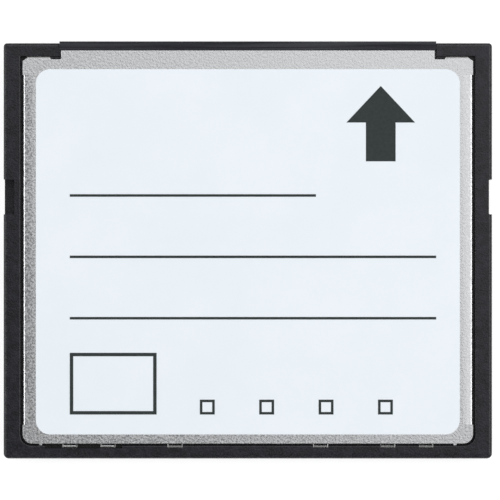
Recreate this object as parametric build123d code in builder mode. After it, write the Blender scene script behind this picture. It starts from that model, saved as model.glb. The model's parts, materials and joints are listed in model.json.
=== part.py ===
from build123d import *
from math import cos, radians, sin
import os

# A removable flash memory card, closed for life. Millimetres, +Z up, origin at the centre of its underside.
# X runs across the card and Y towards its connector edge. The lower half mirrors the upper half about mid_z.

# Card
card_width = 42.8
card_length = 36.55
card_height = 3.3
side_x = card_width / 2
front_y = card_length / 2
rear_y = -card_length / 2
mid_z = card_height / 2
middle = Plane.XY.offset(mid_z)

# Layers, from each face inwards
ink_thickness = 0.02
label_thickness = 0.06
sheet_thickness = 0.2
film_thickness = 0.05
board_thickness = 0.5
label_top_z = card_height - ink_thickness
cover_top_z = label_top_z - label_thickness
cover_under_z = cover_top_z - sheet_thickness
cover_depth = card_height - cover_top_z
board_top_z = mid_z + board_thickness / 2

# Connector: two rows of sockets behind a full-height lip, with an ear at each end
arm_length = 4.85
arm_gap = 0.05
socket_pitch = 1.27
row_spacing = 1.27
least_end_wall = 1.2
connector_depth = 5.0
lip_depth = 0.75
lip_edge_radius = 0.08
lip_groove_from_front = 0.48
lip_groove_width = 0.12
lip_groove_depth = 0.06
socket_radius = 0.3
socket_mouth_depth = 0.12
socket_mouth_ledge = 0.02
socket_mouth_sides = 8
socket_mouth_taper = 45
socket_wall = 0.9
cavity_width = 0.8
cavity_height = 0.9
ear_length = 2.6
ear_height = 1.5
ear_clearance = 0.08
arm_end_x = side_x - arm_length
connector_x = arm_end_x - arm_gap
sockets_per_row = int(2 * (connector_x - least_end_wall) / socket_pitch) + 1
connector_rear_y = front_y - connector_depth
lip_rear_y = front_y - lip_depth
cavity_front_y = front_y - socket_wall
row_z = mid_z + row_spacing / 2

# Contacts: a fork in each cavity, a bridge that holds it there and a tail down to the board
contact_width = 0.45
contact_thickness = 0.13
pin_gap = 0.52
beam_tip_clearance = 0.2
fork_length = 2.6
bridge_length = 0.3
bridge_clearance = 0.01
tail_reach = 0.7
tail_foot = 1.2
fork_half_height = pin_gap / 2 + contact_thickness
bridge_half_height = cavity_height / 2 - bridge_clearance
beam_tip_y = cavity_front_y - beam_tip_clearance
bridge_front_y = beam_tip_y - fork_length
bridge_rear_y = bridge_front_y - bridge_length
tail_bend_y = connector_rear_y - contact_thickness
foot_front_y = connector_rear_y - tail_reach
foot_rear_y = foot_front_y - tail_foot

# Frame: outer rim, a ledge between the two covers and an opening for the board
frame_recess = 0.05
connector_proud = 0.15
front_corner_radius = 0.3
rear_corner_radius = 0.45
outer_edge_radius = 0.3
inner_edge_radius = 0.12
rail_width = 1.5
rear_bar_width = 1.17
arm_depth = 1.17
bump_width = 0.75
bump_depth = 0.17
bump_slope = 0.08
bump_drop = 0.3
bump_root = 0.2
left_arm_corner_cut = (0.2, 0.4)
right_arm_corner_cut = (0.08, 0.12)
arm_corner_cut_depth = 0.5
seat_corner_radius = 0.95
ledge_width = 1.0
ledge_height = 1.3
rear_bevel_width = 0.45
rear_bevel_drop = 0.08
frame_top_z = card_height - frame_recess
frame_height = card_height - 2 * frame_recess
frame_front_y = front_y - connector_proud
seat_x = side_x - rail_width
seat_rear_y = rear_y + rear_bar_width
arm_rear_y = frame_front_y - arm_depth
bump_x = arm_end_x + bump_width
bump_y = arm_rear_y - bump_depth
ledge_x = seat_x - ledge_width
ledge_rear_y = seat_rear_y + ledge_width
ledge_top_z = mid_z + ledge_height / 2
ear_x = seat_x - ledge_width / 2
ear_front_y = bump_y - ear_clearance
ear_rear_y = ear_front_y - ear_length

# Guide grooves, of different heights so that the card goes in only one way up
groove_length = 25.78
groove_depth = 1.01
left_groove_height = 1.6
right_groove_height = 0.99

# Grip notches: the right one cuts the whole edge, the left one only the lip above its groove
notch_from_front = 12.1
notch_length = 3.05
right_notch_depth = 0.28
left_notch_depth = 0.95
notch_corner_radius = 0.1
notch_y = front_y - notch_from_front - notch_length / 2

# Covers: a stamped sheet with bent sides, and tabs that snap into the frame
cover_gap = 0.16
tongue_inset = 0.13
tongue_gap = 0.03
shoulder_gap = 0.15
bump_gap = 0.07
cover_corner_cut = (0.39, 0.25)
cover_corner_radius = 0.84
bend_radius = 0.25
roll_radius = 5.0
roll_turn = 8
bend_relief = 0.02
stamped_edge_radius = 0.06
flange_front_distance = 1.62
flange_rear_distance = 1.8
flange_ledge_gap = 0.07
side_tabs = 4
side_tab_pitch = 7.6
side_tab_width = 2.4
side_tab_depth = 0.35
tab_clearance = 0.06
nib_width = 0.25
nib_length = 0.15
nib_from_side = 1.59
cover_side_x = seat_x - cover_gap
cover_rear_y = seat_rear_y + cover_gap
nib_x = cover_side_x - nib_from_side
tongue_x = connector_x - tongue_inset
tongue_front_y = lip_rear_y - tongue_gap
shoulder_y = arm_rear_y - shoulder_gap
notch_edge_y = bump_y - bump_gap
flange_front_y = arm_rear_y - flange_front_distance
flange_rear_y = seat_rear_y + flange_rear_distance
flange_mid_y = (flange_front_y + flange_rear_y) / 2
flange_length = flange_front_y - flange_rear_y
bend_x = cover_side_x - bend_radius
roll_x = bend_x - (roll_radius - bend_radius) * sin(radians(roll_turn))
roll_z = cover_top_z - roll_radius
bend_z = roll_z + (roll_radius - bend_radius) * cos(radians(roll_turn))
flange_end_z = ledge_top_z + flange_ledge_gap
side_tab_z = ledge_top_z - side_tab_depth

# Hooks at the rear of the lower cover, which stand up through slots in the frame, the tall ones on the left
hook_width = 1.2
hook_gap = 0.14
hook_clearance = 0.06
outer_hook_places = (12.3, 15.65)
inner_hook_place = 6.4
tall_hook_drop = 0.35
short_hook_drop = 1.9
tall_hook_tip_radius = 0.05
short_hook_tip_radius = 0.09
pocket_clearance = 0.08
pocket_outer_margin = 1.5
pocket_inner_margin = 0.7
pocket_depth = 1.3
hook_front_y = cover_rear_y - hook_gap
hook_rear_y = hook_front_y - sheet_thickness
slot_front_y = hook_front_y + hook_clearance
slot_rear_y = hook_rear_y - hook_clearance
pocket_rear_y = hook_rear_y - pocket_clearance

# Labels and the print on the upper one
label_side_margin = 1.175
label_front_margin = 0.97
label_rear_margin = 0.79
label_corner_radius = 1.25
line_width = 0.22
line_pitch = 5.375
first_line_drop = 11.06
line_left_margin = 2.975
line_right_margin = 2.075
short_line_right_margin = 12.6
arrow_right_margin = 6.925
arrow_drop = 4.77
arrow_height = 6.6
arrow_head_width = 6.0
arrow_head_height = 3.2
arrow_shaft_width = 2.6
box_left_margin = 2.975
box_rise = 1.75
box_width = 7.6
box_height = 5.4
box_line_width = 0.3
tick_boxes = 4
tick_box_size = 1.3
tick_box_pitch = 5.2
label_x = cover_side_x - label_side_margin
label_front_y = shoulder_y - label_front_margin
label_rear_y = cover_rear_y + label_rear_margin
label_mid_y = (label_front_y + label_rear_y) / 2

# Circuit board, on four lugs of the frame, each with a locating post
board_clearance = 0.15
board_front_gap = 0.2
lug_length = 2.5
lug_reach = 1.6
lug_rear_distance = 3.4
lug_front_distance = 8.2
post_radius = 0.4
post_height = 0.4
post_clearance = 0.05
board_x = ledge_x - board_clearance
board_rear_y = ledge_rear_y + board_clearance
board_front_y = connector_rear_y - board_front_gap
board_bottom_z = board_top_z - board_thickness
lug_x = ledge_x - lug_reach / 2
lug_rear_y = board_rear_y + lug_rear_distance
lug_front_y = board_front_y - lug_front_distance

# Chips and small parts on the board
chip_standoff = 0.05
chip_height = 0.95
chip_edge_bevel = 0.12
lead_thickness = 0.13
lead_width = 0.22
lead_reach = 0.8
lead_foot = 0.45
lead_pitch = 0.5
flash_width = 12.0
flash_length = 18.4
flash_leads_per_end = 24
flash_side_margin = 1.8
flash_rear_margin = 0.9
controller_side = 10.0
controller_leads_per_side = 16
controller_gap = 3.4
chip_under_z = board_top_z + chip_standoff
lead_z = chip_under_z + chip_height / 2
flash_x = -board_x + flash_side_margin + flash_width / 2
flash_y = board_rear_y + flash_rear_margin + lead_reach + flash_length / 2
controller_x = flash_x + flash_width / 2 + controller_gap + controller_side / 2
controller_left_x = controller_x - controller_side / 2

# Small parts: crystal and tantalum capacitor behind the controller, two rows and a regulator in front of it
rear_part_margin = 0.5
part_gap = 0.75
row_gap = 0.7
crystal_width = 5.0
crystal_length = 2.5
crystal_height = 0.9
tantalum_width = 3.5
tantalum_length = 2.2
tantalum_height = 1.0
small_part_length = 1.6
small_part_width = 0.8
small_part_height = 0.6
small_part_pitch = 1.6
small_parts_per_row = 4
regulator_width = 3.0
regulator_length = 1.6
regulator_height = 0.95
regulator_leads_per_side = 3
regulator_lead_pitch = 0.95
regulator_lead_width = 0.38
rear_row_y = board_rear_y + rear_part_margin + crystal_length / 2
controller_y = rear_row_y + crystal_length / 2 + row_gap + lead_reach + controller_side / 2
capacitor_row_y = controller_y + controller_side / 2 + lead_reach + row_gap + small_part_length / 2
resistor_row_y = capacitor_row_y + small_part_length + row_gap
row_width = (small_parts_per_row - 1) * small_part_pitch + small_part_width
rows_x = controller_left_x + row_width / 2
regulator_x = controller_left_x + row_width + part_gap + regulator_width / 2
regulator_y = (capacitor_row_y + resistor_row_y) / 2
crystal_x = controller_left_x + crystal_width / 2
tantalum_x = crystal_x + crystal_width / 2 + part_gap + tantalum_width / 2


# Outlines that several pieces share
with BuildSketch() as seat_outline:
    with BuildLine():
        Polyline(
            (0, seat_rear_y),
            (seat_x, seat_rear_y),
            (seat_x, arm_rear_y),
            (arm_end_x, arm_rear_y),
            (arm_end_x, front_y),
            (0, front_y),
            close=True,
        )
    make_face()
    mirror(about=Plane.YZ)
    fillet(seat_outline.vertices().group_by(Axis.Y)[0], seat_corner_radius)

with BuildSketch() as well_outline:
    with BuildLine():
        Polyline(
            (0, ledge_rear_y),
            (ledge_x, ledge_rear_y),
            (ledge_x, ear_rear_y - ear_clearance),
            (ear_x, ear_rear_y - ear_clearance),
            (ear_x, arm_rear_y),
            (arm_end_x, arm_rear_y),
            (arm_end_x, front_y),
            (0, front_y),
            close=True,
        )
    make_face()
    mirror(about=Plane.YZ)

with BuildSketch() as cover_outline:
    with BuildLine():
        Polyline(
            (0, cover_rear_y),
            (cover_side_x - bend_relief, cover_rear_y),
            (cover_side_x - bend_relief, flange_rear_y),
            (roll_x, flange_rear_y),
            (roll_x, flange_front_y),
            (cover_side_x - bend_relief, flange_front_y),
            (cover_side_x - bend_relief, shoulder_y - cover_corner_cut[1]),
            (cover_side_x - cover_corner_cut[0], shoulder_y),
            (bump_x + bump_slope + bump_gap, shoulder_y),
            (bump_x + bump_gap, notch_edge_y),
            (tongue_x, notch_edge_y),
            (tongue_x, tongue_front_y),
            (0, tongue_front_y),
            close=True,
        )
    make_face()
    mirror(about=Plane.YZ)
    fillet(cover_outline.vertices().group_by(Axis.Y)[0], cover_corner_radius)
    with Locations((nib_x, cover_rear_y), (-nib_x, cover_rear_y)):
        Rectangle(nib_width, 2 * nib_length)

with BuildSketch() as label_outline:
    with Locations((0, label_mid_y)):
        RectangleRounded(2 * label_x, label_front_y - label_rear_y, label_corner_radius)

side_tab_locations = GridLocations(2 * cover_side_x - sheet_thickness, side_tab_pitch, 2, side_tabs)
lug_locations = [(x, y) for x in (-lug_x, lug_x) for y in (lug_rear_y, lug_front_y)]
tall_hook_xs = [-place for place in outer_hook_places]
short_hook_xs = [-inner_hook_place, inner_hook_place, *outer_hook_places]


# Frame, one moulding
pocket_left_x = min(tall_hook_xs) - hook_width / 2 - pocket_outer_margin
pocket_right_x = max(tall_hook_xs) + hook_width / 2 + pocket_inner_margin
slot_mid_y = (slot_front_y + slot_rear_y) / 2

with BuildPart() as frame:
    with BuildSketch(Plane.XY.offset(frame_recess)) as rim_outline:
        with Locations((0, (frame_front_y + rear_y) / 2)):
            Rectangle(card_width, frame_front_y - rear_y)
        fillet(rim_outline.vertices().group_by(Axis.Y)[-1], front_corner_radius)
        fillet(rim_outline.vertices().group_by(Axis.Y)[0], rear_corner_radius)
    extrude(amount=frame_height)
    fillet(frame.edges().group_by(Axis.Z)[-1] + frame.edges().group_by(Axis.Z)[0], outer_edge_radius)

    # Seats of the two covers, and the opening between them
    with BuildSketch(Plane.XY.offset(ledge_top_z)):
        add(seat_outline.sketch)
    extrude(amount=card_height, mode=Mode.SUBTRACT)
    with BuildSketch(Plane.XY.offset(card_height - ledge_top_z)):
        add(seat_outline.sketch)
    extrude(amount=-card_height, mode=Mode.SUBTRACT)
    with BuildSketch():
        add(well_outline.sketch)
    extrude(amount=card_height, mode=Mode.SUBTRACT)
    for face_z, cut_depth in ((frame_top_z, -arm_corner_cut_depth), (frame_recess, arm_corner_cut_depth)):
        with BuildSketch(Plane.XY.offset(face_z)):
            for side, (cut_width, cut_length) in ((-1, left_arm_corner_cut), (1, right_arm_corner_cut)):
                with BuildLine():
                    Polyline(
                        (side * arm_end_x, frame_front_y),
                        (side * (arm_end_x + cut_width), frame_front_y),
                        (side * arm_end_x, frame_front_y - cut_length),
                        close=True,
                    )
                make_face()
        extrude(amount=cut_depth, mode=Mode.SUBTRACT)
    for face_edges in (frame.edges().group_by(Axis.Z)[-1], frame.edges().group_by(Axis.Z)[0]):
        inner_edges = face_edges.filter_by_position(Axis.X, -seat_x, seat_x)
        inner_edges = inner_edges.filter_by_position(Axis.Y, seat_rear_y, arm_rear_y)
        fillet(inner_edges, inner_edge_radius)

    # Bumps behind the arms' ends, which hold the connector's ears back
    with BuildSketch(Plane.XY.offset(frame_recess + bump_drop)):
        with BuildLine():
            Polyline(
                (arm_end_x, arm_rear_y + bump_root),
                (bump_x + bump_slope, arm_rear_y + bump_root),
                (bump_x + bump_slope, arm_rear_y),
                (bump_x, bump_y),
                (arm_end_x, bump_y),
                close=True,
            )
        make_face()
        mirror(about=Plane.YZ)
    extrude(amount=frame_height - 2 * bump_drop)

    # Bevels along the rear edge
    with BuildSketch(Plane.YZ):
        with BuildLine():
            Polyline(
                (rear_y, frame_top_z - rear_bevel_drop),
                (rear_y + rear_bevel_width, frame_top_z),
                (rear_y, card_height),
                close=True,
            )
        make_face()
        mirror(about=Plane.XZ.offset(-mid_z))
    extrude(amount=side_x, both=True, mode=Mode.SUBTRACT)

    # Guide grooves, open at the front
    with BuildSketch(Plane.XZ.offset(-frame_front_y)):
        with Locations((-side_x, mid_z)):
            Rectangle(2 * groove_depth, left_groove_height)
        with Locations((side_x, mid_z)):
            Rectangle(2 * groove_depth, right_groove_height)
    extrude(amount=groove_length, mode=Mode.SUBTRACT)

    # Grip notches
    with BuildSketch():
        with Locations((side_x, notch_y)):
            RectangleRounded(2 * right_notch_depth, notch_length, notch_corner_radius)
    extrude(amount=card_height, mode=Mode.SUBTRACT)
    with BuildSketch(Plane.XY.offset(mid_z)):
        with Locations((-side_x, notch_y)):
            RectangleRounded(2 * left_notch_depth, notch_length, notch_corner_radius)
    extrude(amount=card_height, mode=Mode.SUBTRACT)

    # Slots in the ledge for the covers' side tabs
    with BuildSketch(Plane.XY.offset(side_tab_z - tab_clearance)):
        with Locations((0, flange_mid_y)):
            with side_tab_locations:
                Rectangle(sheet_thickness + 2 * tab_clearance, side_tab_width + 2 * tab_clearance)
    extrude(amount=mid_z, mode=Mode.SUBTRACT)
    with BuildSketch(Plane.XY.offset(card_height - side_tab_z + tab_clearance)):
        with Locations((0, flange_mid_y)):
            with side_tab_locations:
                Rectangle(sheet_thickness + 2 * tab_clearance, side_tab_width + 2 * tab_clearance)
    extrude(amount=-mid_z, mode=Mode.SUBTRACT)

    # Slots for the rear hooks, and a long pocket around the two tall ones
    with BuildSketch():
        with Locations([(x, slot_mid_y) for x in tall_hook_xs + short_hook_xs]):
            Rectangle(hook_width + 2 * hook_clearance, slot_front_y - slot_rear_y)
    extrude(amount=card_height, mode=Mode.SUBTRACT)
    with BuildSketch(Plane.XY.offset(frame_top_z)):
        with Locations((pocket_left_x, pocket_rear_y)):
            Rectangle(pocket_right_x - pocket_left_x, seat_rear_y - pocket_rear_y, align=Align.MIN)
    extrude(amount=-pocket_depth, mode=Mode.SUBTRACT)

    # Lugs under the board, with their posts
    with BuildSketch(Plane.XY.offset(card_height - ledge_top_z)):
        with Locations(lug_locations):
            Rectangle(lug_reach, lug_length)
    extrude(amount=board_bottom_z - (card_height - ledge_top_z))
    with BuildSketch(Plane.XY.offset(board_bottom_z)):
        with Locations(lug_locations):
            Circle(post_radius)
    extrude(amount=post_height)
frame.part.label = "frame"


# Covers
with BuildPart() as top_cover:
    with BuildSketch(Plane.XY.offset(cover_under_z)):
        add(cover_outline.sketch)
    extrude(amount=sheet_thickness)
    plate_edges = top_cover.faces().sort_by(Axis.Z)[-1].edges()
    fillet(plate_edges.filter_by_position(Axis.Y, notch_edge_y, front_y), stamped_edge_radius)
    with BuildSketch(Plane.XZ.offset(-flange_front_y)):
        with BuildLine():
            bend_turn = 90 - roll_turn
            CenterArc((bend_x, bend_z), bend_radius, 0, bend_turn)
            CenterArc((bend_x, bend_z), bend_radius - sheet_thickness, 0, bend_turn)
            CenterArc((roll_x, roll_z), roll_radius, bend_turn, roll_turn)
            CenterArc((roll_x, roll_z), roll_radius - sheet_thickness, bend_turn, roll_turn)
            Line((roll_x, cover_top_z), (roll_x, cover_under_z))
            Polyline(
                (cover_side_x, bend_z),
                (cover_side_x, flange_end_z),
                (cover_side_x - sheet_thickness, flange_end_z),
                (cover_side_x - sheet_thickness, bend_z),
            )
        make_face()
        mirror(about=Plane.YZ)
    extrude(amount=flange_length)
    with BuildSketch(Plane.XY.offset(bend_z)):
        with Locations((0, flange_mid_y)):
            with side_tab_locations:
                Rectangle(sheet_thickness, side_tab_width)
    extrude(amount=side_tab_z - bend_z)
top_cover.part.label = "top_cover"

with BuildPart() as bottom_cover:
    mirror(top_cover.part, about=middle)
    for hook_xs, hook_drop, tip_radius in (
        (tall_hook_xs, tall_hook_drop, tall_hook_tip_radius),
        (short_hook_xs, short_hook_drop, short_hook_tip_radius),
    ):
        with BuildSketch(Plane.XY.offset(cover_depth)):
            with Locations([(x, hook_rear_y) for x in hook_xs]):
                Rectangle(hook_width, cover_rear_y - hook_rear_y, align=(Align.CENTER, Align.MIN))
        extrude(amount=sheet_thickness)
        with BuildSketch(Plane.XY.offset(cover_depth)):
            with Locations([(x, hook_rear_y) for x in hook_xs]):
                Rectangle(hook_width, sheet_thickness, align=(Align.CENTER, Align.MIN))
        extrude(amount=frame_top_z - hook_drop - cover_depth)
        fillet(bottom_cover.edges(Select.LAST).filter_by(Axis.X).group_by(Axis.Z)[-1], tip_radius)
bottom_cover.part.label = "bottom_cover"


# Labels
with BuildPart() as top_label:
    with BuildSketch(Plane.XY.offset(cover_top_z)):
        add(label_outline.sketch)
    extrude(amount=label_thickness)
top_label.part.label = "top_label"

with BuildPart() as bottom_label:
    with BuildSketch():
        add(label_outline.sketch)
    extrude(amount=cover_depth)
bottom_label.part.label = "bottom_label"


# Print on the upper label: three lines to write on, an insertion arrow, a date box and tick boxes
line_left_x = line_left_margin - label_x
first_line_y = label_front_y - first_line_drop

with BuildPart() as write_lines:
    with BuildSketch(Plane.XY.offset(label_top_z)):
        for row, right_margin in enumerate((short_line_right_margin, line_right_margin, line_right_margin)):
            with Locations((line_left_x, first_line_y - row * line_pitch)):
                Rectangle(label_x - right_margin - line_left_x, line_width, align=(Align.MIN, Align.CENTER))
    extrude(amount=ink_thickness)
write_lines.part.label = "write_lines"

arrow_x = label_x - arrow_right_margin
arrow_y = label_front_y - arrow_drop
arrow_tip_y = arrow_y + arrow_height / 2
arrow_neck_y = arrow_tip_y - arrow_head_height
arrow_tail_y = arrow_y - arrow_height / 2

with BuildPart() as insertion_arrow:
    with BuildSketch(Plane.XY.offset(label_top_z)):
        with BuildLine():
            Polyline(
                (arrow_x, arrow_tip_y),
                (arrow_x + arrow_head_width / 2, arrow_neck_y),
                (arrow_x + arrow_shaft_width / 2, arrow_neck_y),
                (arrow_x + arrow_shaft_width / 2, arrow_tail_y),
                (arrow_x - arrow_shaft_width / 2, arrow_tail_y),
                (arrow_x - arrow_shaft_width / 2, arrow_neck_y),
                (arrow_x - arrow_head_width / 2, arrow_neck_y),
                close=True,
            )
        make_face()
    extrude(amount=ink_thickness)
insertion_arrow.part.label = "insertion_arrow"

box_x = box_left_margin - label_x + box_width / 2
box_y = label_rear_y + box_rise + box_height / 2

with BuildPart() as date_box:
    with BuildSketch(Plane.XY.offset(label_top_z)):
        with Locations((box_x, box_y)):
            Rectangle(box_width, box_height)
            Rectangle(box_width - 2 * box_line_width, box_height - 2 * box_line_width, mode=Mode.SUBTRACT)
    extrude(amount=ink_thickness)
date_box.part.label = "date_box"

tick_row_x = (box_x + box_width / 2 + label_x - line_right_margin) / 2
tick_row_y = box_y - box_height / 2 + tick_box_size / 2

with BuildPart() as tick_box_row:
    with BuildSketch(Plane.XY.offset(label_top_z)):
        with Locations((tick_row_x, tick_row_y)):
            with GridLocations(tick_box_pitch, tick_box_size, tick_boxes, 1):
                Rectangle(tick_box_size, tick_box_size)
                inner_size = tick_box_size - 2 * line_width
                Rectangle(inner_size, inner_size, mode=Mode.SUBTRACT)
    extrude(amount=ink_thickness)
tick_box_row.part.label = "tick_boxes"


# Connector housing
body_height = cover_under_z - (card_height - cover_under_z)
front_face = Plane(origin=(0, front_y, mid_z), x_dir=(1, 0, 0), z_dir=(0, -1, 0))
socket_mouth_apothem = socket_radius + socket_mouth_ledge + socket_mouth_depth

with BuildPart() as connector_housing:
    with BuildSketch(front_face):
        Rectangle(2 * connector_x, frame_height)
    extrude(amount=lip_depth)
    lip_edges = connector_housing.faces().sort_by(Axis.Y)[-1].edges().filter_by(Axis.X)
    fillet(lip_edges, lip_edge_radius)
    with BuildSketch(front_face.offset(lip_groove_from_front)):
        with GridLocations(1, frame_height, 1, 2):
            Rectangle(2 * connector_x, 2 * lip_groove_depth)
    extrude(amount=lip_groove_width, mode=Mode.SUBTRACT)
    with BuildSketch(front_face.offset(lip_depth)):
        Rectangle(2 * connector_x, body_height)
    extrude(amount=connector_depth - lip_depth)
    with BuildSketch(front_face.offset(front_y - ear_front_y)):
        Rectangle(2 * (ear_x - ear_clearance), ear_height)
    extrude(amount=ear_length)

    # Sockets: a cavity open at the rear, and a round hole with a flared mouth
    with BuildSketch(front_face.offset(socket_wall)):
        with GridLocations(socket_pitch, row_spacing, sockets_per_row, 2):
            Rectangle(cavity_width, cavity_height)
    extrude(amount=connector_depth, mode=Mode.SUBTRACT)
    with BuildSketch(front_face):
        with GridLocations(socket_pitch, row_spacing, sockets_per_row, 2):
            Circle(socket_radius)
    extrude(amount=socket_wall, mode=Mode.SUBTRACT)
    with BuildSketch(front_face):
        with GridLocations(socket_pitch, row_spacing, sockets_per_row, 2):
            RegularPolygon(socket_mouth_apothem, socket_mouth_sides, major_radius=False)
    extrude(amount=socket_mouth_depth, taper=socket_mouth_taper, mode=Mode.SUBTRACT)
connector_housing.part.label = "connector_housing"


# Contacts: one strip each, forked at the front, with a tail that lies on the board
with BuildPart() as contact:
    with BuildSketch(Plane.YZ):
        with BuildLine():
            Polyline(
                (beam_tip_y, row_z + fork_half_height),
                (bridge_front_y, row_z + fork_half_height),
                (bridge_front_y, row_z + bridge_half_height),
                (bridge_rear_y, row_z + bridge_half_height),
                (bridge_rear_y, row_z + contact_thickness / 2),
                (tail_bend_y, row_z + contact_thickness / 2),
                (foot_front_y, board_top_z + contact_thickness),
                (foot_rear_y, board_top_z + contact_thickness),
                (foot_rear_y, board_top_z),
                (foot_front_y + contact_thickness, board_top_z),
                (tail_bend_y + contact_thickness / 2, row_z - contact_thickness / 2),
                (bridge_rear_y, row_z - contact_thickness / 2),
                (bridge_rear_y, row_z - bridge_half_height),
                (bridge_front_y, row_z - bridge_half_height),
                (bridge_front_y, row_z - fork_half_height),
                (beam_tip_y, row_z - fork_half_height),
                (beam_tip_y, row_z - pin_gap / 2),
                (bridge_front_y, row_z - pin_gap / 2),
                (bridge_front_y, row_z + pin_gap / 2),
                (beam_tip_y, row_z + pin_gap / 2),
                close=True,
            )
        make_face()
    extrude(amount=contact_width / 2, both=True)

with BuildPart() as upper_contacts:
    with GridLocations(socket_pitch, 1, sockets_per_row, 1):
        add(contact.part)
upper_contacts.part.label = "upper_contacts"

with BuildPart() as lower_contacts:
    mirror(upper_contacts.part, about=middle)
lower_contacts.part.label = "lower_contacts"


# Circuit board
with BuildPart() as circuit_board:
    with BuildSketch(Plane.XY.offset(board_bottom_z)):
        with Locations((0, (board_front_y + board_rear_y) / 2)):
            Rectangle(2 * board_x, board_front_y - board_rear_y)
        with Locations(lug_locations):
            Circle(post_radius + post_clearance, mode=Mode.SUBTRACT)
    extrude(amount=board_thickness)
circuit_board.part.label = "circuit_board"


# Chips: a moulded body with bevelled edges, and gull-wing leads in rows on its sides
def chip_body(x, y, width, length, height):
    with BuildPart() as body:
        with BuildSketch(Plane.XY.offset(chip_under_z)):
            with Locations((x, y)):
                Rectangle(width, length)
        extrude(amount=height)
        chamfer(body.edges().group_by(Axis.Z)[-1], chip_edge_bevel)
    return body.part


def gull_wing_lead(side_distance, width):
    with BuildPart() as lead:
        with BuildSketch(Plane.XZ):
            with BuildLine():
                Polyline(
                    (side_distance, lead_z + lead_thickness / 2),
                    (side_distance + lead_foot / 2, lead_z + lead_thickness / 2),
                    (side_distance + lead_foot, board_top_z + lead_thickness),
                    (side_distance + lead_reach, board_top_z + lead_thickness),
                    (side_distance + lead_reach, board_top_z),
                    (side_distance + lead_foot - lead_thickness, board_top_z),
                    (side_distance + lead_foot / 2 - lead_thickness, lead_z - lead_thickness / 2),
                    (side_distance, lead_z - lead_thickness / 2),
                    close=True,
                )
            make_face()
        extrude(amount=width / 2, both=True)
    return lead.part


def lead_rows(x, y, side_distance, rows, first_angle, count, pitch, width):
    lead = gull_wing_lead(side_distance, width)
    with BuildPart() as leads:
        with Locations((x, y)):
            with PolarLocations(0, rows, first_angle):
                with GridLocations(1, pitch, 1, count):
                    add(lead)
    return leads.part


with BuildPart() as flash_chip_top:
    add(chip_body(flash_x, flash_y, flash_width, flash_length, chip_height))
flash_chip_top.part.label = "flash_chip_top"

with BuildPart() as flash_leads_top:
    add(lead_rows(flash_x, flash_y, flash_length / 2, 2, 90, flash_leads_per_end, lead_pitch, lead_width))
flash_leads_top.part.label = "flash_leads_top"

with BuildPart() as flash_chip_bottom:
    mirror(flash_chip_top.part, about=middle)
flash_chip_bottom.part.label = "flash_chip_bottom"

with BuildPart() as flash_leads_bottom:
    mirror(flash_leads_top.part, about=middle)
flash_leads_bottom.part.label = "flash_leads_bottom"

with BuildPart() as controller_chip:
    add(chip_body(controller_x, controller_y, controller_side, controller_side, chip_height))
controller_chip.part.label = "controller_chip"

controller_reach = controller_side / 2
with BuildPart() as controller_leads:
    add(
        lead_rows(
            controller_x,
            controller_y,
            controller_reach,
            4,
            0,
            controller_leads_per_side,
            lead_pitch,
            lead_width,
        )
    )
controller_leads.part.label = "controller_leads"

with BuildPart() as voltage_regulator:
    add(chip_body(regulator_x, regulator_y, regulator_width, regulator_length, regulator_height))
voltage_regulator.part.label = "voltage_regulator"

with BuildPart() as regulator_leads:
    add(
        lead_rows(
            regulator_x,
            regulator_y,
            regulator_length / 2,
            2,
            90,
            regulator_leads_per_side,
            regulator_lead_pitch,
            regulator_lead_width,
        )
    )
regulator_leads.part.label = "regulator_leads"


# Small parts that stand on the board
def board_block(x, y, width, length, height):
    with BuildPart() as block:
        with BuildSketch(Plane.XY.offset(board_top_z)):
            with Locations((x, y)):
                Rectangle(width, length)
        extrude(amount=height)
        fillet(block.edges().group_by(Axis.Z)[-1], chip_edge_bevel)
    return block.part


def block_row(y):
    with BuildPart() as row:
        with BuildSketch(Plane.XY.offset(board_top_z)):
            with Locations((rows_x, y)):
                with GridLocations(small_part_pitch, 1, small_parts_per_row, 1):
                    Rectangle(small_part_width, small_part_length)
        extrude(amount=small_part_height)
    return row.part


with BuildPart() as crystal:
    add(board_block(crystal_x, rear_row_y, crystal_width, crystal_length, crystal_height))
crystal.part.label = "crystal"

with BuildPart() as tantalum_capacitor:
    add(board_block(tantalum_x, rear_row_y, tantalum_width, tantalum_length, tantalum_height))
tantalum_capacitor.part.label = "tantalum_capacitor"

with BuildPart() as ceramic_capacitors:
    add(block_row(capacitor_row_y))
ceramic_capacitors.part.label = "ceramic_capacitors"

with BuildPart() as chip_resistors:
    add(block_row(resistor_row_y))
chip_resistors.part.label = "chip_resistors"


# Insulating films on the covers' inner faces
with BuildPart() as top_film:
    with BuildSketch(Plane.XY.offset(cover_under_z)):
        with Locations((0, (board_front_y + board_rear_y) / 2)):
            Rectangle(2 * board_x, board_front_y - board_rear_y)
    extrude(amount=-film_thickness)
top_film.part.label = "top_film"

with BuildPart() as bottom_film:
    mirror(top_film.part, about=middle)
bottom_film.part.label = "bottom_film"


pieces = [
    frame,
    top_cover,
    bottom_cover,
    top_label,
    bottom_label,
    write_lines,
    insertion_arrow,
    date_box,
    tick_box_row,
    connector_housing,
    upper_contacts,
    lower_contacts,
    circuit_board,
    flash_chip_top,
    flash_leads_top,
    flash_chip_bottom,
    flash_leads_bottom,
    controller_chip,
    controller_leads,
    voltage_regulator,
    regulator_leads,
    crystal,
    tantalum_capacitor,
    ceramic_capacitors,
    chip_resistors,
    top_film,
    bottom_film,
]
os.makedirs("parts", exist_ok=True)
for piece in pieces:
    export_step(piece.part, f"parts/{piece.part.label}.step")
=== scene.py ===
import json
import math

import bpy
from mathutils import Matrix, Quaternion, Vector


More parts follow.
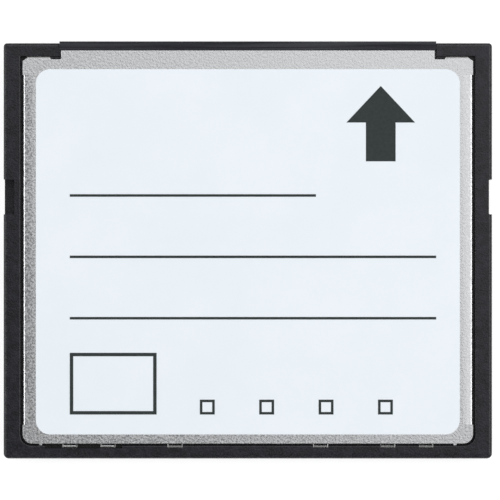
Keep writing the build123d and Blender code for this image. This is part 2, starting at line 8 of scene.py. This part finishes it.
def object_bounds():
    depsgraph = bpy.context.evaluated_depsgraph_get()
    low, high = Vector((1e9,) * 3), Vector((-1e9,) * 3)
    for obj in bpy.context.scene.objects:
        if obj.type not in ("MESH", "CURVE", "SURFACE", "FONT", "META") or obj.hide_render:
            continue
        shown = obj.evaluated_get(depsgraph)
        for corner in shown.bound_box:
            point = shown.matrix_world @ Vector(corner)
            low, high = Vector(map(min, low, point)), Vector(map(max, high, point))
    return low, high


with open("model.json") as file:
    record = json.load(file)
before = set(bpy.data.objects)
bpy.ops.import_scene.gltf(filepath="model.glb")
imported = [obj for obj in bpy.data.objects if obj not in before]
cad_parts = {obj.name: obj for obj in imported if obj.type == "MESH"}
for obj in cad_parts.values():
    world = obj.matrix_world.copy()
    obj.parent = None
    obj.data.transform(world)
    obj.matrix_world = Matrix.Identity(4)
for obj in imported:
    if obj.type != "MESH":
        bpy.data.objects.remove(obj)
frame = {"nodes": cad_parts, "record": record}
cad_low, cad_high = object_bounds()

# A removable flash memory card, seen straight down on its back face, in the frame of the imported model.
# Metres, except that the finishes give their grains and depths in millimetres.

MM = 0.001
WHITE = (1, 1, 1, 1)

# Shades of each finish, the darker one first
FRAME_SHADES = ((0.0002, 0.0003, 0.003), (0.0085, 0.0087, 0.0148))
CONNECTOR_SHADES = ((0.0, 0.0005, 0.005), (0.028, 0.0288, 0.036))
CHIP_SHADES = ((0.016, 0.016, 0.017), (0.024, 0.024, 0.025))
STEEL_SHADES = ((0.64, 0.648, 0.66), (0.745, 0.753, 0.766))
LABEL_SHADES = ((0.815, 0.876, 0.925), (0.84, 0.892, 0.942))
INK_SHADES = ((0.026, 0.034, 0.034), (0.032, 0.04, 0.04))
GOLD_SHADES = ((0.82, 0.6, 0.27), (0.88, 0.66, 0.32))
TIN_SHADES = ((0.66, 0.66, 0.65), (0.76, 0.76, 0.75))
NICKEL_SHADES = ((0.6, 0.58, 0.53), (0.68, 0.66, 0.61))
LAMINATE_SHADES = ((0.008, 0.075, 0.028), (0.02, 0.15, 0.055))
TANTALUM_SHADES = ((0.62, 0.36, 0.05), (0.7, 0.43, 0.08))
CAPACITOR_SHADES = ((0.34, 0.22, 0.13), (0.42, 0.28, 0.17))
RESISTOR_SHADES = ((0.03, 0.03, 0.035), (0.05, 0.05, 0.055))
FILM_SHADES = ((0.46, 0.2, 0.025), (0.54, 0.25, 0.04))

# Stretches of a noise's values that run from one shade, or one roughness, to the other
TINT_SPREAD = (0.35, 0.65)
SHINE_SPREAD = (0.3, 0.7)
SPECKLE_SPREAD = (0.37, 0.63)
WHOLE_SPREAD = (0, 1)

# How far the roughness strays below and above its usual value
PLASTIC_STRAY = (-0.06, 0.08)
PLATING_STRAY = (-0.05, 0.07)

# Patches of colour on moulded plastic, in grains of its surface, and the tracks under the board's mask
PATCH_GRAINS = 3.75
TRACK_PITCH = 1.1
TRACK_GAP = 0.06


def along_axes(grain):
    """A length along each axis, from one length or from three."""
    return grain if isinstance(grain, tuple) else (grain,) * 3


class Finish:
    """A principled material under construction, whose colour runs between two shades."""

    def __init__(self, name, shades, roughness, metallic=0.0):
        self.material = bpy.data.materials.new(name)
        self.material.use_nodes = True
        self.tree = self.material.node_tree
        self.shader = self.tree.nodes["Principled BSDF"]
        self.shades = shades
        self.shader.inputs["Base Color"].default_value = (*shades[0], 1)
        self.shader.inputs["Roughness"].default_value = roughness
        self.shader.inputs["Metallic"].default_value = metallic
        self.place = self.node("ShaderNodeTexCoord").outputs["Object"]

    def node(self, kind, **settings):
        """A new node with these settings."""
        made = self.tree.nodes.new(kind)
        for key, value in settings.items():
            setattr(made, key, value)
        return made

    def link(self, output, made, socket):
        """Leads an output to a socket of a node."""
        self.tree.links.new(output, made.inputs[socket])

    def stretched(self, grain):
        """Coordinates in which one unit is this long."""
        mapping = self.node("ShaderNodeMapping")
        mapping.inputs["Scale"].default_value = [1 / (length * MM) for length in along_axes(grain)]
        self.link(self.place, mapping, "Vector")
        return mapping.outputs["Vector"]

    def noise(self, grain, detail=2, roughness=0.5):
        """Noise whose grains are about this long: one length, or one along each axis."""
        made = self.node("ShaderNodeTexNoise")
        made.inputs["Scale"].default_value = 1
        made.inputs["Detail"].default_value = detail
        made.inputs["Roughness"].default_value = roughness
        self.link(self.stretched(grain), made, "Vector")
        return made.outputs["Fac"]

    def ranged(self, value, spread, to_low=0.0, to_high=1.0):
        """A value carried over from its spread to another range, and held within it."""
        made = self.node("ShaderNodeMapRange")
        made.inputs["From Min"].default_value = spread[0]
        made.inputs["From Max"].default_value = spread[1]
        made.inputs["To Min"].default_value = to_low
        made.inputs["To Max"].default_value = to_high
        self.link(value, made, "Value")
        return made.outputs["Result"]

    def tint(self, value, spread=TINT_SPREAD):
        """The colour, which runs from the darker shade to the lighter one over the spread."""
        made = self.node("ShaderNodeMix", data_type="RGBA")
        made.inputs["A"].default_value = (*self.shades[0], 1)
        made.inputs["B"].default_value = (*self.shades[1], 1)
        self.link(self.ranged(value, spread), made, "Factor")
        self.link(made.outputs["Result"], self.shader, "Base Color")

    def shine(self, value, low, high, spread=SHINE_SPREAD):
        """The roughness, between two values."""
        self.link(self.ranged(value, spread, low, high), self.shader, "Roughness")

    def relief(self, height, depth):
        """Bumps of this depth."""
        made = self.node("ShaderNodeBump")
        made.inputs["Strength"].default_value = 1
        made.inputs["Distance"].default_value = depth * MM
        self.link(height, made, "Height")
        self.link(made.outputs["Normal"], self.shader, "Normal")


def moulded_plastic(name, shades, grain, depth, roughness, specular=0.4):
    """Dark thermoplastic with the fine grain of an eroded mould."""
    finish = Finish(name, shades, roughness)
    patch = tuple(PATCH_GRAINS * length for length in along_axes(grain))
    finish.tint(finish.noise(patch, detail=4))
    fine = finish.noise(grain, detail=3, roughness=0.6)
    finish.shine(fine, roughness + PLASTIC_STRAY[0], roughness + PLASTIC_STRAY[1])
    finish.relief(fine, depth)
    finish.shader.inputs["Specular IOR Level"].default_value = specular
    return finish.material


def speckled_steel(name):
    """Stainless sheet with a matt, crystalline surface, whose lighter grains are also the rougher ones."""
    finish = Finish(name, STEEL_SHADES, roughness=0.26, metallic=1.0)
    speckle = finish.ranged(finish.noise(0.18, roughness=0.6), SPECKLE_SPREAD)
    finish.tint(speckle, WHOLE_SPREAD)
    finish.shine(speckle, low=0.165, high=0.37, spread=WHOLE_SPREAD)
    finish.relief(speckle, depth=0.004)
    return finish.material


def label_film_finish(name):
    """White polyester label, satin, with a faint cool tint and the unevenness of its adhesive."""
    finish = Finish(name, LABEL_SHADES, roughness=0.42)
    finish.tint(finish.noise(6.0, detail=3))
    finish.shine(finish.noise(1.2), low=0.38, high=0.48)
    finish.relief(finish.noise(0.8), depth=0.004)
    return finish.material


def printed_ink(name):
    """Dark grey ink with slightly uneven cover."""
    finish = Finish(name, INK_SHADES, roughness=0.5)
    finish.shader.inputs["Specular IOR Level"].default_value = 0.2
    finish.tint(finish.noise(0.25, detail=3))
    finish.relief(finish.noise(0.12), depth=0.002)
    return finish.material


def plated_metal(name, shades, roughness):
    """Thin bright plating with a fine drawn texture along Y."""
    finish = Finish(name, shades, roughness, metallic=1.0)
    drawn = finish.noise((0.04, 0.6, 0.04))
    finish.tint(drawn)
    finish.shine(drawn, roughness + PLATING_STRAY[0], roughness + PLATING_STRAY[1])
    finish.relief(drawn, depth=0.002)
    return finish.material


def masked_laminate(name):
    """Green solder mask over the copper tracks of a circuit board."""
    finish = Finish(name, LAMINATE_SHADES, roughness=0.28)
    tracks = finish.node("ShaderNodeTexBrick", offset=0.5)
    tracks.inputs["Scale"].default_value = 1
    tracks.inputs["Mortar Size"].default_value = TRACK_GAP
    finish.link(finish.stretched(TRACK_PITCH), tracks, "Vector")
    finish.tint(tracks.outputs["Fac"], WHOLE_SPREAD)
    finish.relief(tracks.outputs["Fac"], depth=0.01)
    return finish.material


def ceramic(name, shades):
    """Fired ceramic body of a small chip part."""
    finish = Finish(name, shades, roughness=0.45)
    finish.tint(finish.noise(0.3, detail=4))
    finish.relief(finish.noise(0.06), depth=0.004)
    return finish.material


def insulating_film(name):
    """Thin amber film."""
    finish = Finish(name, FILM_SHADES, roughness=0.25)
    finish.tint(finish.noise(3.0, detail=3))
    finish.relief(finish.noise(1.0), depth=0.006)
    return finish.material


def finishes():
    """Every material, by the record's slot."""
    return {
        "frame_plastic": moulded_plastic(
            "moulded_frame_plastic", FRAME_SHADES, grain=0.16, depth=0.026, roughness=0.25, specular=0.5
        ),
        "connector_plastic": moulded_plastic(
            "moulded_connector_plastic", CONNECTOR_SHADES, grain=(3, 0.08, 0.08), depth=0.03, roughness=0.34
        ),
        "cover_steel": speckled_steel("speckled_cover_steel"),
        "label_film": label_film_finish("satin_label_film"),
        "label_ink": printed_ink("printed_label_ink"),
        "contact_metal": plated_metal("gold_plated_contact", GOLD_SHADES, roughness=0.24),
        "board_laminate": masked_laminate("masked_board_laminate"),
        "chip_moulding": moulded_plastic(
            "chip_moulding_compound", CHIP_SHADES, grain=0.07, depth=0.006, roughness=0.6
        ),
        "lead_metal": plated_metal("tin_plated_lead", TIN_SHADES, roughness=0.34),
        "can_metal": plated_metal("nickel_can", NICKEL_SHADES, roughness=0.26),
        "tantalum_case": ceramic("tantalum_case_yellow", TANTALUM_SHADES),
        "capacitor_ceramic": ceramic("capacitor_ceramic_tan", CAPACITOR_SHADES),
        "resistor_ceramic": ceramic("resistor_ceramic_dark", RESISTOR_SHADES),
        "insulating_film": insulating_film("amber_insulating_film"),
    }


def dress_nodes():
    """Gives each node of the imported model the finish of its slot."""
    finish_of_slot = finishes()
    for entry in frame["record"]["subparts"]:
        for place in frame["nodes"][entry["node"]].material_slots:
            place.material = finish_of_slot[entry["material_slot"]]


# Floor
FLOOR_SIDE = 1.2
FLOOR_GAP = 0.02 * MM
FLOOR_COLOUR = (0.6, 0.6, 0.6, 1)
FLOOR_ROUGHNESS = 0.9
FLOOR_SPECULAR = 0.1
FLOOR_GLOW = 0.65


def floor_material():
    """Matt grey that also glows to the camera and in reflections, so it shows white but for a shadow."""
    material = bpy.data.materials.new("white_floor")
    material.use_nodes = True
    tree = material.node_tree
    shader = tree.nodes["Principled BSDF"]
    shader.inputs["Base Color"].default_value = FLOOR_COLOUR
    shader.inputs["Roughness"].default_value = FLOOR_ROUGHNESS
    shader.inputs["Specular IOR Level"].default_value = FLOOR_SPECULAR
    shader.inputs["Emission Color"].default_value = WHITE
    rays = tree.nodes.new("ShaderNodeLightPath")
    seen = rays.outputs["Is Camera Ray"]
    for kind in ("Is Glossy Ray", "Is Transmission Ray"):
        either = tree.nodes.new("ShaderNodeMath")
        either.operation = "MAXIMUM"
        tree.links.new(seen, either.inputs[0])
        tree.links.new(rays.outputs[kind], either.inputs[1])
        seen = either.outputs[0]
    glow = tree.nodes.new("ShaderNodeMath")
    glow.operation = "MULTIPLY"
    glow.inputs[1].default_value = FLOOR_GLOW
    tree.links.new(seen, glow.inputs[0])
    tree.links.new(glow.outputs[0], shader.inputs["Emission Strength"])
    return material


def make_floor():
    """A plain floor just under the card."""
    half = FLOOR_SIDE / 2
    z = cad_low.z - FLOOR_GAP
    corners = [(-half, -half, z), (half, -half, z), (half, half, z), (-half, half, z)]
    mesh = bpy.data.meshes.new("floor")
    mesh.from_pydata(corners, [], [range(len(corners))])
    floor = bpy.data.objects.new("floor", mesh)
    bpy.context.scene.collection.objects.link(floor)
    floor.data.materials.append(floor_material())


# Light: a pale sky, a long softbox on each of the four sides, and a panel above whose near edge runs close
# to the point straight over the card. The steel mirrors that edge, so it darkens to the left and the rear.
SKY_LEVEL = 0.245
SOFTBOX_DISTANCE = 0.42
SOFTBOX_HEIGHT = 0.42
SOFTBOX_LENGTH = 0.7
SOFTBOX_RISE = 0.22
SIDE_POWER = 1.15
END_POWER = 0.7
PANEL_HEIGHT = 0.36
PANEL_SIDE = 0.4
PANEL_BEARING = 49
PANEL_EDGE = -0.006
PANEL_POWER = 0.375


def pale_sky():
    """An even white sky for the soft part of the light."""
    world = bpy.data.worlds.new("studio")
    bpy.context.scene.world = world
    world.use_nodes = True
    background = world.node_tree.nodes["Background"]
    background.inputs["Color"].default_value = WHITE
    background.inputs["Strength"].default_value = SKY_LEVEL


def softbox(name, place, direction, turn, length, rise, power):
    """A rectangular lamp, level along its length, turned about its direction by an angle in degrees."""
    data = bpy.data.lights.new(name, "AREA")
    data.shape = "RECTANGLE"
    data.size = length
    data.size_y = rise
    data.energy = power
    lamp = bpy.data.objects.new(name, data)
    lamp.location = place
    lamp.rotation_mode = "QUATERNION"
    aim = Vector(direction).to_track_quat("-Z", "Y")
    lamp.rotation_quaternion = aim @ Quaternion((0, 0, 1), math.radians(turn))
    bpy.context.scene.collection.objects.link(lamp)


def light_card():
    """The sky, the four softboxes and the panel above."""
    pale_sky()
    softboxes = (
        ("left_softbox", (-SOFTBOX_DISTANCE, 0, SOFTBOX_HEIGHT), SIDE_POWER),
        ("right_softbox", (SOFTBOX_DISTANCE, 0, SOFTBOX_HEIGHT), SIDE_POWER),
        ("front_softbox", (0, SOFTBOX_DISTANCE, SOFTBOX_HEIGHT), END_POWER),
        ("rear_softbox", (0, -SOFTBOX_DISTANCE, SOFTBOX_HEIGHT), END_POWER),
    )
    for name, place, power in softboxes:
        softbox(name, place, -Vector(place), 0, SOFTBOX_LENGTH, SOFTBOX_RISE, power)
    bearing = math.radians(PANEL_BEARING)
    reach = PANEL_EDGE + PANEL_SIDE / 2
    place = Vector((reach * math.cos(bearing), reach * math.sin(bearing), PANEL_HEIGHT))
    softbox("panel_above", place, (0, 0, -1), PANEL_BEARING, PANEL_SIDE, PANEL_SIDE, PANEL_POWER)


# Camera: straight down from well above, as in the photograph
PICTURE_PIXELS = 500
PIXELS_PER_MM = 11.42
LENS = 360
SENSOR = 36
CENTRE_X = 0.19 * MM
CENTRE_Y = 0.0
NEAREST = 1 * MM
FARTHEST = 10


def make_camera():
    """A camera above the card that frames it as the photograph does."""
    picture_width = PICTURE_PIXELS / PIXELS_PER_MM * MM
    data = bpy.data.cameras.new("camera")
    data.lens = LENS
    data.sensor_width = SENSOR
    data.clip_start = NEAREST
    data.clip_end = FARTHEST
    camera = bpy.data.objects.new("camera", data)
    camera.location = (CENTRE_X, CENTRE_Y, cad_high.z + picture_width * LENS / SENSOR)
    bpy.context.scene.collection.objects.link(camera)
    bpy.context.scene.camera = camera


dress_nodes()
make_floor()
light_card()
make_camera()
bpy.context.scene.view_settings.view_transform = "Standard"
